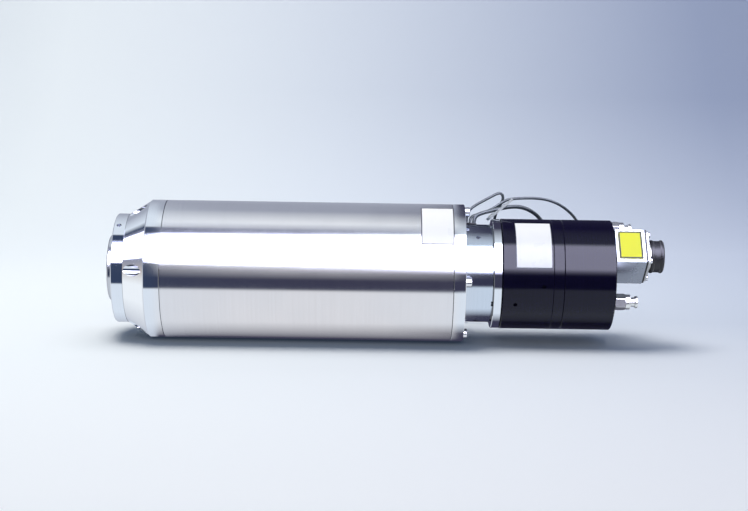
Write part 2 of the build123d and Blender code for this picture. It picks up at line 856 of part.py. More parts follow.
def rod_flange():
    """The front cover of the cylinder, with a bevel that catches the light at its rear edge."""
    x0, x1, r = rod_flange_front, front_body_front, rod_flange_d / 2
    i = rod_d / 2 + slide_gap
    b, c = rod_flange_front_bevel, rod_flange_rear_bevel
    part = turned((x0, i), (x0, r - b), (x0 + b, r), (x1 - c, r), (x1, r - c), (x1, i))
    part -= seal_groove(x0 + rod_seal_in)
    for hole in tie_holes(x0 - 1, x1 + 1):
        part -= hole
    return part - lead_hole(x0 - 1, x1 + 1)


def cylinder_shell(x0, x1, bore, b=body_bevel):
    r = cylinder_d / 2
    i = bore / 2
    return turned((x0, i), (x0, r - b), (x0 + b, r), (x1 - b, r), (x1, r - b), (x1, i))


def side_hole(x, at):
    return spoke(x, cylinder_d / 2 - side_hole_depth, cylinder_d / 2 + 1, side_hole_d, at)


def cylinder_front_body():
    x0, x1 = front_body_front, mid_plate_front
    part = cylinder_shell(x0, x1, cylinder_bore)
    for hole in tie_holes(x0 - 1, x1 + 1):
        part -= hole
    for x, at in side_hole_places:
        part -= side_hole(x0 + x, at)
    return part - lead_hole(x0 - 1, x1 + 1)


def mid_plate():
    """The wall between the cylinder's two chambers."""
    x0, x1 = mid_plate_front, rear_body_front
    part = cylinder_shell(x0, x1, rod_d + 2 * slide_gap)
    part -= seal_groove(x0 + mid_seal_in)
    for hole in tie_holes(x0 - 1, x1 + 1):
        part -= hole
    return part - lead_hole(x0 - 1, x1 + 1)


def cylinder_rear_body():
    x0, x1 = rear_body_front, rear_face
    part = cylinder_shell(x0, x1, cylinder_bore, rear_bevel) + rod(chamber_end, x1, cylinder_bore + 1)
    for hole in tie_holes(x0 - 1, x1 + 1):
        part -= hole
    for hole in tie_holes(x1 - tie_screw_head_sink, x1 + 1, M5[1] + 2 * head_gap):
        part -= hole
    for at in fitting_angles():
        deep = x1 - fitting_stub_len - hole_end_gap / 2
        part -= rod(deep, x1 + 1, fitting_stub_d + 2 * thread_gap, fitting_r, at)
    deep = box_screw_len - box_floor + hole_end_gap
    thread = Rot(0, 90, 0) * Cylinder(M3[0] / 2 + thread_gap, 2 * deep)
    for y, z in box_screw_places():
        part -= box_frame() * Pos(0, y, z) * thread
    return part - lead_hole(x0 - 1, x1 + 1)


def tie_screws():
    seat = rear_face - tie_screw_head_sink
    length = seat - rod_flange_front + tie_screw_thread
    return [cap_screw(M5, seat, length, tie_screw_r, at) for at in tie_screw_angles()]


def rod_seals():
    places = (rod_flange_front + rod_seal_in, mid_plate_front + mid_seal_in)
    big = rod_d + 2 * rod_seal_wall
    return [tube(x, x + rod_seal_w, big, rod_d + 2 * slide_gap) for x in places]


def piston(x):
    """A piston disc with a groove for its lip seal."""
    d = cylinder_bore - 2 * slide_gap
    b = piston_bevel
    part = turned(
        (x, rod_d / 2 + snug), (x, d / 2 - b), (x + b, d / 2), (x + piston_w - b, d / 2),
        (x + piston_w, d / 2 - b), (x + piston_w, rod_d / 2 + snug),
    )
    groove = x + piston_groove_in
    return part - tube(groove, groove + piston_groove_w, d + 1, d - 2 * piston_groove_depth)


def piston_places():
    return (mid_plate_front - piston_w - piston_rear_gap, chamber_end - piston_w - piston_rear_gap)


def front_piston():
    return piston(piston_places()[0])


def rear_piston():
    return piston(piston_places()[1])


def piston_rod():
    """One rod through both pistons, with a pad at its front that meets the drawbar."""
    front = drawbar_end + rod_gap
    back = piston_places()[1] + piston_w
    pad = front + rod_pad_len
    step = pad + rod_step_len
    return turned(
        (front, 0), (front, rod_pad_d / 2), (pad, rod_pad_d / 2), (step, rod_d / 2 - rod_taper),
        (step + rod_taper_len, rod_d / 2), (back, rod_d / 2), (back, 0),
    )


def piston_seals():
    d = cylinder_bore - 2 * slide_gap
    first = piston_groove_in + seal_gap
    last = piston_groove_in + piston_groove_w - seal_gap
    small = d - 2 * (piston_groove_depth - seal_gap)
    return [tube(x + first, x + last, d, small) for x in piston_places()]


# ---------------------------------------------------------------- connector box
def box_frame():
    """Where the connector box stands: its middle on the rear face, turned square to the radius."""
    return Rot(-box_at, 0, 0) * Pos(rear_face, -box_r, 0)


def square_block(x0, x1, side, corner):
    block = Pos((x0 + x1) / 2, 0, 0) * Box(x1 - x0, side, side)
    return fillet(block.edges().filter_by(Axis.X), corner)


def corner_places(half):
    return [(-half, -half), (half, -half), (half, half), (-half, half)]


def box_screw_places():
    return [(0, -box_screw_spread), (0, box_screw_spread)]


def connector_box():
    """A milled block, hollow from the rear, with a thread in each corner for the socket's screws."""
    part = square_block(0, box_len, box_side, box_corner)
    room = box_side - 2 * box_wall
    cavity = square_block(box_floor, box_len + 1, room, box_room_corner)
    post = Pos((box_floor + box_len) / 2, 0, 0) * Box(box_len - box_floor + 4, box_post, box_post)
    thread = Pos(box_len, 0, 0) * Rot(0, 90, 0) * Cylinder(M3[0] / 2 + thread_gap, 2 * socket_screw_len)
    for y, z in corner_places(socket_screw_spread):
        cavity -= Pos(0, y, z) * post
    part -= cavity
    for y, z in corner_places(socket_screw_spread):
        part -= Pos(0, y, z) * thread
    for y, z in box_screw_places():
        part -= Pos(box_floor / 2, y, z) * Rot(0, 90, 0) * Cylinder(M3_clear_d / 2, box_floor + 2)
    part = box_frame() * part
    return part - rod(rear_face - 1, rear_face + box_floor + 1, lead_hole_d, lead_r, box_at)


def box_screws():
    """The two screws inside the box that hold it to the cylinder."""
    screw = cap_screw(M3, box_floor, box_screw_len, 0, 0)
    return [box_frame() * Pos(0, y, z) * screw for y, z in box_screw_places()]


def connector_gasket():
    side = box_side - 2 * gasket_inset
    part = square_block(box_len, box_len + gasket_len, side, gasket_corner)
    part -= Pos(box_len, 0, 0) * Rot(0, 90, 0) * Cylinder(socket_d / 2 - 1, 4 * gasket_len)
    for y, z in corner_places(socket_screw_spread):
        part -= Pos(box_len, y, z) * Rot(0, 90, 0) * Cylinder(M3_clear_d / 2, 4 * gasket_len)
    return box_frame() * part


def connector_socket():
    """The panel socket: a square flange and a round threaded shell."""
    x0 = box_len + gasket_len
    x1 = x0 + socket_flange_len
    end = x1 + socket_len
    part = square_block(x0, x1, box_side - 2 * socket_flange_inset, socket_flange_corner)
    part += Pos((x0 + end) / 2, 0, 0) * Rot(0, 90, 0) * Cylinder(socket_d / 2, end - x0)
    part -= Pos((x0 + end) / 2, 0, 0) * Rot(0, 90, 0) * Cylinder(socket_d / 2 - socket_wall, end - x0 + 2)
    for y, z in corner_places(socket_screw_spread):
        part -= Pos(x0, y, z) * Rot(0, 90, 0) * Cylinder(M3_clear_d / 2, 4 * socket_flange_len)
    return box_frame() * part


def connector_insert():
    middle = box_len + gasket_len - insert_in + insert_len / 2
    r = socket_d / 2 - socket_wall - slide_gap
    part = Pos(middle, 0, 0) * Rot(0, 90, 0) * Cylinder(r, insert_len)
    for at in around(pin_count):
        part -= pin_bar(middle, at, pin_d + 2 * slide_gap, insert_len + 2)
    return box_frame() * part


def pin_bar(x, at, d, length):
    y = -pin_circle / 2 * cos(radians(at))
    z = pin_circle / 2 * sin(radians(at))
    return Pos(x, y, z) * Rot(0, 90, 0) * Cylinder(d / 2, length)


def connector_pins():
    length = pin_in + insert_len + pin_out
    middle = box_len + gasket_len - insert_in - pin_in + length / 2
    return [box_frame() * pin_bar(middle, at, pin_d, length) for at in around(pin_count)]


def connector_screws():
    seat = box_len + gasket_len + socket_flange_len
    screw = cap_screw(M3, seat, socket_screw_len, 0, 0)
    return [box_frame() * Pos(0, y, z) * screw for y, z in corner_places(socket_screw_spread)]


def cap_front():
    return box_len + gasket_len + socket_flange_len + M3[2] + face_gap


def dust_cap():
    """A screw-on cap with a shallow waist between its two rims."""
    x0 = cap_front()
    x1 = x0 + cap_len
    r = cap_d / 2
    w = r - cap_waist
    bore = socket_d / 2 + cap_gap
    front, rear = x0 + cap_front_rim, x1 - cap_rear_rim
    b, c = cap_front_bevel, cap_rear_bevel
    return box_frame() * turned(
        (x0, bore), (x0, r - b), (x0 + b, r), (front, r), (front + cap_ramp, w), (rear - cap_ramp, w),
        (rear, r), (x1 - c, r), (x1, r - c), (x1, 0), (x1 - cap_wall, 0), (x1 - cap_wall, bore),
    )


def cap_seal():
    x1 = cap_front() + cap_len - cap_wall
    end = box_len + gasket_len + socket_flange_len + socket_len + slide_gap
    length = x1 - end - 2 * slide_gap
    return box_frame() * Pos((x1 + end) / 2, 0, 0) * Rot(0, 90, 0) * Cylinder(socket_d / 2 - face_gap, length)


# ---------------------------------------------------------------- air fittings
def fitting_angles():
    return (box_at - fitting_spread, box_at + fitting_spread)


def air_fitting(at):
    """A straight push-in fitting: thread, hexagon, round head and a stepped bore for the collar."""
    x0 = rear_face
    x1 = x0 + fitting_hex_len
    x2 = x1 + fitting_round_len
    stub = x0 - fitting_stub_len
    flats, corners, b = fitting_hex / 2, fitting_crown_d / 2, fitting_bevel
    hexagon = Rot(0, 90, 0) * extrude(RegularPolygon(flats, 6, major_radius=False), fitting_hex_len)
    crown = turned(
        (x0, 0), (x0, flats), (x0 + b, corners), (x1 - b, corners), (x1, flats), (x1, 0),
    )
    part = Pos(x0, 0, 0) * hexagon & crown
    r = fitting_round_d / 2
    part += turned((x1, 0), (x1, r), (x2 - b, r), (x2, r - b), (x2, 0))
    part += turned((stub, 0), (stub, fitting_stub_d / 2), (x0, fitting_stub_d / 2), (x0, 0))
    stem_room = collar_stem_in + collar_travel + hole_end_gap
    part -= rod(x2 - stem_room, x2 + 1, collar_stem_d + 2 * slide_gap)
    part -= rod(stub - 1, x2, air_hole_d)
    return Pos(0, -fitting_r * cos(radians(at)), fitting_r * sin(radians(at))) * part


def release_collar(at):
    """The sleeve that is pressed in to let the tube go."""
    x2 = rear_face + fitting_hex_len + fitting_round_len
    out = x2 + collar_stem_out
    head = out - collar_head_len
    bore, stem, r, e = tube_d / 2 + tube_clear, collar_stem_d / 2, collar_head_d / 2, collar_edge
    part = turned(
        (x2 - collar_stem_in, bore), (x2 - collar_stem_in, stem), (head, stem), (head, r - e),
        (head + e, r), (out - e, r), (out, r - e), (out, bore + e), (out - e, bore),
    )
    return Pos(0, -fitting_r * cos(radians(at)), fitting_r * sin(radians(at))) * part


def power_leads():
    """The motor's leads, in their sleeve from the winding to the connector box."""
    return rod(rear_spigot_end - lead_past, rear_face + box_floor + lead_past, lead_d, lead_r, box_at)


def main():
    save("body_sleeve", body_sleeve())
    save("cooling_jacket", cooling_jacket())
    save("jacket_o_rings", *jacket_o_rings())
    save("stator_core", stator_core())
    save("stator_winding", stator_winding())
    save("rotor_core", rotor_core())
    save("spindle_shaft", spindle_shaft())
    fronts = bearing_set((bearing_front, bearing_second), front_seat_d, front_bearing_od, front_bearing_w)
    rear_places = (rear_bearing, rear_bearing + rear_bearing_w)
    rears = bearing_set(rear_places, rear_seat_d, rear_bearing_od, rear_bearing_w)
    for name, (outers, inners, balls) in (("front", fronts), ("rear", rears)):
        save(f"{name}_bearing_outer_rings", *outers)
        save(f"{name}_bearing_inner_rings", *inners)
        save(f"{name}_bearing_balls", *balls)
    save("bearing_spacers", inner_spacer())
    save("outer_spacer", outer_spacer())
    save("shaft_nuts", shaft_nut(front_nut, front_seat_d), shaft_nut(rear_nut, rear_seat_d))
    save("front_bearing_retainer", front_bearing_retainer())
    save("gripper", gripper())
    save("drawbar", drawbar())
    save("disc_springs", *disc_springs())
    save("sensor_ring", sensor_ring())
    save("front_flange", front_flange())
    save("front_flange_screws", *[
        cap_screw(M5, sleeve_front - counterbore_floor, counterbore_floor + flange_screw_depth,
                  flange_screw_pcd / 2, at, -1)
        for at in around(flange_screw_count, flange_screw_start)
    ])
    save("front_ring", front_ring())
    save("rear_flange", rear_flange())
    save("rear_flange_screws", *[
        cap_screw(M5, neck_front, rear_flange_len + rear_screw_depth, rear_screw_r, at)
        for at in around(rear_screw_count, rear_screw_start)
    ])
    save("sensor_housing", sensor_housing())
    save("sensor_housing_screws", *sensor_housing_screws())
    save("proximity_sensors", *proximity_sensors())
    save("sensor_set_screws", *sensor_set_screws())
    save("cable_grommet", cable_grommet())
    save("rod_flange", rod_flange())
    save("cylinder_front_body", cylinder_front_body())
    save("mid_plate", mid_plate())
    save("cylinder_rear_body", cylinder_rear_body())
    save("tie_screws", *tie_screws())
    save("rod_seals", *rod_seals())
    save("front_piston", front_piston())
    save("rear_piston", rear_piston())
    save("piston_rod", piston_rod())
    save("piston_seals", *piston_seals())
    save("connector_box", connector_box())
    save("connector_gasket", connector_gasket())
    save("connector_socket", connector_socket())
    save("connector_insert", connector_insert())
    save("connector_pins", *connector_pins())
    save("connector_screws", *connector_screws(), *box_screws())
    save("dust_cap", dust_cap())
    save("cap_seal", cap_seal())
    near, far = fitting_angles()
    save("air_fittings", air_fitting(near), air_fitting(far))
    save("release_collar_1", release_collar(near))
    save("release_collar_2", release_collar(far))
    save("power_leads", power_leads())
    for k in range(len(cable_d)):
        save(f"sensor_cable_{k + 1}", sensor_cable(k))
        save(f"sensor_cable_coil_{k + 1}", sensor_cable_coil(k))
    save("cable_tie", cable_tie())


main()
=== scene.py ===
import json
from math import cos, pi, radians, sin, tau

import bmesh
import bpy
from mathutils import Matrix, Vector


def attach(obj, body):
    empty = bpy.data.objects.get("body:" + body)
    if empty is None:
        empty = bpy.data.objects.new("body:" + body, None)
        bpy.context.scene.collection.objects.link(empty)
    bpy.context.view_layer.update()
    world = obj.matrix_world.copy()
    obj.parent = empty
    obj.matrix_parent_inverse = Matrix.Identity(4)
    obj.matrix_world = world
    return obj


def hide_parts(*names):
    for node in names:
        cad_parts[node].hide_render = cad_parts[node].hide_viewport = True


# A milling motor spindle lying on its round body. X runs from the nose to the drawbar cylinder,
# -Y is the front and Z is up. Angles round the axis are 0 at the front and 90 at the top.
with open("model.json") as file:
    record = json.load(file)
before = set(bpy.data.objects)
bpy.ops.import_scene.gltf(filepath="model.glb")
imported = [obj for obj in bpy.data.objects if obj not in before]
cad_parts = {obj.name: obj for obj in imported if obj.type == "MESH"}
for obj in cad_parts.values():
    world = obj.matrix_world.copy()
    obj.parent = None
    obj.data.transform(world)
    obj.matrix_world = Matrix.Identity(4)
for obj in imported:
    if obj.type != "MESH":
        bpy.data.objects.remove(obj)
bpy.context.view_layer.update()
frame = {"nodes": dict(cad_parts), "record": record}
nodes = frame["nodes"]

TABLE = -0.0625
SLEEVE_R = 0.0625
CYLINDER_R = 0.050
REAR_FACE = 0.274

# The connector box on the cylinder's rear face, and the air fitting on its near side
BOX_AT = 40.6
BOX_R = 0.0316
BOX_SIDE = 0.0358
FITTING_R = 0.0424
FITTING_SPREAD = 67.0


def spot(x, radius, at):
    return Vector((x, -radius * cos(radians(at)), radius * sin(radians(at))))


# ---------------------------------------------------------------- camera
CAMERA_PLACE = (0.0589, -1.447, 0.192)
CAMERA_AIM = (0.0589, 0.0018, 0.0145)
CAMERA_ROLL = radians(0.9)
CAMERA_LENS = 76.8


def place_camera():
    camera = bpy.data.objects.new("camera", bpy.data.cameras.new("camera"))
    bpy.context.scene.collection.objects.link(camera)
    camera.data.sensor_width = 36.0
    camera.data.lens = CAMERA_LENS
    camera.data.clip_start = 0.05
    place = Vector(CAMERA_PLACE)
    look = Vector(CAMERA_AIM) - place
    turn = look.to_track_quat("-Z", "Y").to_matrix().to_4x4()
    camera.matrix_world = Matrix.Translation(place) @ turn @ Matrix.Rotation(CAMERA_ROLL, 4, "Z")
    bpy.context.scene.camera = camera


# ---------------------------------------------------------------- node helpers
def new_node(tree, kind, values=None, **settings):
    """A node with its settings and socket values; a value that is a socket is linked."""
    node = tree.nodes.new(kind)
    for key, value in settings.items():
        setattr(node, key, value)
    for key, value in (values or {}).items():
        if isinstance(value, bpy.types.NodeSocket):
            tree.links.new(value, node.inputs[key])
        else:
            node.inputs[key].default_value = value
    return node


def maths(tree, operation, *values):
    return new_node(tree, "ShaderNodeMath", dict(enumerate(values)), operation=operation).outputs[0]


def remap(tree, value, low, high, to_low, to_high, smooth=False):
    node = new_node(tree, "ShaderNodeMapRange", {
        "Value": value, "From Min": low, "From Max": high, "To Min": to_low, "To Max": to_high,
    })
    node.interpolation_type = "SMOOTHSTEP" if smooth else "LINEAR"
    return node.outputs["Result"]


def ramp(tree, value, stops):
    node = new_node(tree, "ShaderNodeValToRGB", {"Fac": value})
    band = node.color_ramp
    while len(band.elements) > 1:
        band.elements.remove(band.elements[-1])
    for number, (place, colour, *lamp) in enumerate(stops):
        stop = band.elements.new(place) if number else band.elements[0]
        stop.position = place
        stop.color = (*colour, lamp[0] if lamp else 0.0)
    return node.outputs["Color"], node.outputs["Alpha"]


def blend_colour(tree, share, one, two, mode="MIX"):
    node = tree.nodes.new("ShaderNodeMix")
    node.data_type = "RGBA"
    node.blend_type = mode
    for socket, value in ((node.inputs[0], share), (node.inputs[6], one), (node.inputs[7], two)):
        if isinstance(value, bpy.types.NodeSocket):
            tree.links.new(value, socket)
        else:
            socket.default_value = value if socket is node.inputs[0] else (*value, 1.0)
    return node.outputs[2]


def new_group(name, inputs, outputs):
    group = bpy.data.node_groups.new(name, "ShaderNodeTree")
    for label, kind, value in inputs:
        socket = group.interface.new_socket(name=label, in_out="INPUT", socket_type="NodeSocket" + kind)
        socket.default_value = value
    for label, kind in outputs:
        group.interface.new_socket(name=label, in_out="OUTPUT", socket_type="NodeSocket" + kind)
    return group, group.nodes.new("NodeGroupInput").outputs, group.nodes.new("NodeGroupOutput").inputs


def use_group(tree, group, values):
    node = tree.nodes.new("ShaderNodeGroup")
    node.node_tree = group
    for key, value in values.items():
        if isinstance(value, bpy.types.NodeSocket):
            tree.links.new(value, node.inputs[key])
        else:
            node.inputs[key].default_value = value
    return node.outputs


# ---------------------------------------------------------------- shared effects
def make_tool_marks():
    """Fine rings left by turning or grinding, round an axis along X: across a cylinder and round a face."""
    group, given, out = new_group(
        "tool marks",
        (("Centre", "Vector", (0, 0, 0)), ("Lines", "Float", 3000.0), ("Waver", "Float", 8.0)),
        (("Lines", "Float"), ("Patches", "Float")),
    )
    place = new_node(group, "ShaderNodeTexCoord").outputs["Object"]
    near = new_node(group, "ShaderNodeVectorMath", {0: place, 1: given["Centre"]}, operation="SUBTRACT").outputs[0]
    part = new_node(group, "ShaderNodeSeparateXYZ", {0: near}).outputs
    radius = maths(group, "SQRT", maths(
        group, "ADD", maths(group, "MULTIPLY", part[1], part[1]), maths(group, "MULTIPLY", part[2], part[2])))
    along = maths(group, "MULTIPLY", maths(group, "ADD", part[0], radius), given["Lines"])
    side = maths(group, "MULTIPLY", part[1], given["Waver"])
    rise = maths(group, "MULTIPLY", part[2], given["Waver"])
    spread = new_node(group, "ShaderNodeCombineXYZ", {0: along, 1: side, 2: rise}).outputs[0]
    fine = new_node(group, "ShaderNodeTexNoise", {"Vector": spread, "Scale": 1.0, "Detail": 3.0, "Roughness": 0.6})
    slow = new_node(group, "ShaderNodeTexNoise", {"Vector": near, "Scale": 28.0, "Detail": 4.0, "Roughness": 0.55})
    group.links.new(remap(group, fine.outputs["Fac"], 0.28, 0.72, 0.0, 1.0), out["Lines"])
    group.links.new(remap(group, slow.outputs["Fac"], 0.3, 0.7, 0.0, 1.0), out["Patches"])
    return group


def make_grain():
    """Small even grain, as on blasted or anodised metal, moulded plastic and rubber."""
    group, given, out = new_group(
        "fine grain",
        (("Size", "Float", 0.0004), ("Patch size", "Float", 0.03)),
        (("Grain", "Float"), ("Patches", "Float")),
    )
    place = new_node(group, "ShaderNodeTexCoord").outputs["Object"]
    for label, size, detail in (("Grain", "Size", 2.0), ("Patches", "Patch size", 4.0)):
        scale = maths(group, "DIVIDE", 1.0, given[size])
        noise = new_node(group, "ShaderNodeTexNoise", {"Vector": place, "Scale": scale, "Detail": detail})
        group.links.new(remap(group, noise.outputs["Fac"], 0.3, 0.7, 0.0, 1.0), out[label])
    return group


tool_marks = make_tool_marks()
fine_grain = make_grain()


# ---------------------------------------------------------------- finishes
def new_material(name):
    material = bpy.data.materials.new(name)
    material.use_nodes = True
    tree = material.node_tree
    tree.nodes.clear()
    shader = new_node(tree, "ShaderNodeBsdfPrincipled")
    output = new_node(tree, "ShaderNodeOutputMaterial")
    tree.links.new(shader.outputs[0], output.inputs["Surface"])
    return material, tree, shader


def shade(colour, by):
    return tuple(min(1.0, c * by) for c in colour)


def turned_metal(name, colour, rough, lines=3000.0, streak=0.06, relief=0.3, centre=(0, 0, 0), spread=0.0,
                 waver=8.0, patches=0.04, metallic=1.0, specular=0.5):
    """Metal with fine marks round the axis; spread is how far the marks smear a reflection along X."""
    material, tree, shader = new_material(name)
    marks = use_group(tree, tool_marks, {"Centre": centre, "Lines": lines, "Waver": waver})
    tone = blend_colour(tree, marks["Lines"], shade(colour, 1 - streak), shade(colour, 1 + streak))
    tone = blend_colour(tree, remap(tree, marks["Patches"], 0, 1, 0, 2 * patches), tone, shade(colour, 0.72))
    tree.links.new(tone, shader.inputs["Base Color"])
    wear = maths(tree, "ADD", marks["Lines"], marks["Patches"])
    tree.links.new(remap(tree, wear, 0, 2, rough * 0.82, rough * 1.2), shader.inputs["Roughness"])
    bump = new_node(tree, "ShaderNodeBump", {"Height": marks["Lines"], "Strength": relief, "Distance": 0.00001})
    tree.links.new(bump.outputs[0], shader.inputs["Normal"])
    shader.inputs["Metallic"].default_value = metallic
    shader.inputs["Specular IOR Level"].default_value = specular
    if spread:
        shader.inputs["Anisotropic"].default_value = spread
        shader.inputs["Anisotropic Rotation"].default_value = 0.25
        tangent = new_node(tree, "ShaderNodeTangent", direction_type="RADIAL", axis="X")
        tree.links.new(tangent.outputs[0], shader.inputs["Tangent"])
    return material


def grained(name, colour, rough, size=0.0004, relief=0.15, metallic=0.0, tint=0.05, coat=0.0, specular=0.5):
    """A surface with small even grain: blasted or anodised metal, plastic, rubber or paint."""
    material, tree, shader = new_material(name)
    grain = use_group(tree, fine_grain, {"Size": size})
    tone = blend_colour(tree, grain["Patches"], shade(colour, 1 - tint), shade(colour, 1 + tint))
    tone = blend_colour(tree, remap(tree, grain["Grain"], 0, 1, 0, 0.3), tone, shade(colour, 0.86))
    tree.links.new(tone, shader.inputs["Base Color"])
    tree.links.new(remap(tree, grain["Patches"], 0, 1, rough * 0.88, rough * 1.12), shader.inputs["Roughness"])
    bump = new_node(tree, "ShaderNodeBump", {"Height": grain["Grain"], "Strength": relief, "Distance": size / 8})
    tree.links.new(bump.outputs[0], shader.inputs["Normal"])
    shader.inputs["Metallic"].default_value = metallic
    shader.inputs["Coat Weight"].default_value = coat
    shader.inputs["Specular IOR Level"].default_value = specular
    return material


box_centre = spot(0, BOX_R, BOX_AT)
near_fitting = spot(0, FITTING_R, BOX_AT - FITTING_SPREAD)

finishes = {
    "ground_steel": turned_metal("ground steel", (0.80, 0.80, 0.82), 0.15, 2600, 0.025, 0.08, spread=0.75),
    "polished_steel": turned_metal("polished steel", (0.84, 0.86, 0.89), 0.05, 5000, 0.02, 0.01),
    "hard_steel": turned_metal("hardened steel", (0.60, 0.61, 0.63), 0.16, 4000, 0.05, 0.2),
    "bearing_steel": turned_metal("lapped bearing steel", (0.70, 0.71, 0.73), 0.08, 6000, 0.02, 0.1),
    "spring_steel": turned_metal("oiled spring steel", (0.36, 0.35, 0.36), 0.28, 2500, 0.1, 0.3),
    "screw_steel": turned_metal("bright screw steel", (0.78, 0.79, 0.82), 0.14, 9000, 0.05, 0.15),
    "black_screw_steel": turned_metal("black oxide screw steel", (0.07, 0.07, 0.08), 0.32, 9000, 0.1, 0.2),
    "lamination_steel": turned_metal("varnished laminations", (0.34, 0.33, 0.35), 0.4, 2000, 0.25, 0.9),
    "copper": grained("varnished copper winding", (0.72, 0.30, 0.13), 0.3, 0.0012, 0.5, 1.0, 0.1),
    "jacket_aluminium": turned_metal("turned aluminium", (0.80, 0.81, 0.82), 0.3, 2500, 0.07, 0.3),
    "housing_aluminium": turned_metal("clear anodised aluminium", (0.66, 0.72, 0.80), 0.10, 3500, 0.04, 0.02),
    "black_aluminium": turned_metal(
        "black anodised aluminium", (0.0045, 0.0035, 0.020), 0.11, 2600, 0.2, 0.06, spread=0.5, metallic=0.0,
        specular=0.27),
    "piston_aluminium": turned_metal("hard anodised aluminium", (0.42, 0.42, 0.42), 0.35, 2500, 0.05, 0.2),
    "black_rubber": grained("black rubber", (0.018, 0.018, 0.020), 0.55, 0.0006, 0.25),
    "box_aluminium": grained("blasted clear anodised aluminium", (0.66, 0.71, 0.79), 0.28, 0.00035, 0.2, 1.0, 0.03),
    "plated_metal": turned_metal("nickel plating", (0.84, 0.84, 0.83), 0.30, 7000, 0.03, 0.1, near_fitting),
    "gold_plate": turned_metal("gold plating", (0.90, 0.66, 0.28), 0.15, 8000, 0.05, 0.15, box_centre),
    "black_plastic": grained("black moulded plastic", (0.015, 0.015, 0.020), 0.38, 0.0005, 0.3),
    "sensor_brass": turned_metal("nickel plated barrel", (0.72, 0.71, 0.68), 0.15, 5000, 0.1, 0.5),
    "lead_sleeve": grained("woven lead sleeve", (0.52, 0.045, 0.03), 0.6, 0.0009, 0.9),
    "grey_cable": grained("grey cable jacket", (0.13, 0.155, 0.18), 0.26, 0.0006, 0.10, 0.0, 0.06),
    "white_nylon": grained("white nylon", (0.86, 0.88, 0.90), 0.35, 0.0007, 0.12, 0.0, 0.02, 0.0, 0.5),
}


def dress_nodes():
    """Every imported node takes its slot's finish."""
    for part in frame["record"]["subparts"]:
        piece = nodes[part["node"]]
        piece.data.materials.clear()
        piece.data.materials.append(finishes[part["material_slot"]])


# ---------------------------------------------------------------- making pieces
def finish_piece(name, shape, material, body="housing", smooth=25.0):
    """A bmesh becomes a piece that rides on a body, with edges sharper than smooth kept sharp."""
    mesh = bpy.data.meshes.new(name)
    for face in shape.faces:
        face.smooth = True
    for edge in shape.edges:
        if len(edge.link_faces) == 2 and edge.calc_face_angle(0.0) > radians(smooth):
            edge.smooth = False
    shape.to_mesh(mesh)
    shape.free()
    piece = bpy.data.objects.new(name, mesh)
    bpy.context.scene.collection.objects.link(piece)
    mesh.materials.append(material)
    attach(piece, body)
    return piece


# ---------------------------------------------------------------- sensor cables
CABLE_OUTLET_Y, CABLE_OUTLET_Z = 0.01183, 0.04414

# A wound coil: its mean radius and the pitch of its turns in cable diameters, and its gap to the table
COIL_POINTS = 20
COIL_R = 5.5
COIL_PITCH = 1.05
COIL_LAYERS = 3
COIL_CLIMB = 0.22
TABLE_GAP = 0.00005

# The stripped end of a cable: a core's and a tinned wire's thickness in cable diameters
STRIPPED = 0.011
CORE_PLACES = 5
CORE_THICK = 0.24
CORE_SPREAD = 0.05
WIRE_THICK = 0.15
WIRE_START, WIRE_MIDDLE, WIRE_END = -0.0004, 0.0016, 0.0035

# A strap round a coil
STRAP_BAND = 0.0008
STRAP_WIDTH = 0.0025
STRAP_CORNER = 0.0016
STRAP_LIFT = 0.0003
STRAP_HEAD = (0.0042, 0.0024, 0.0040)
STRAP_HEAD_CORNER = 0.0005

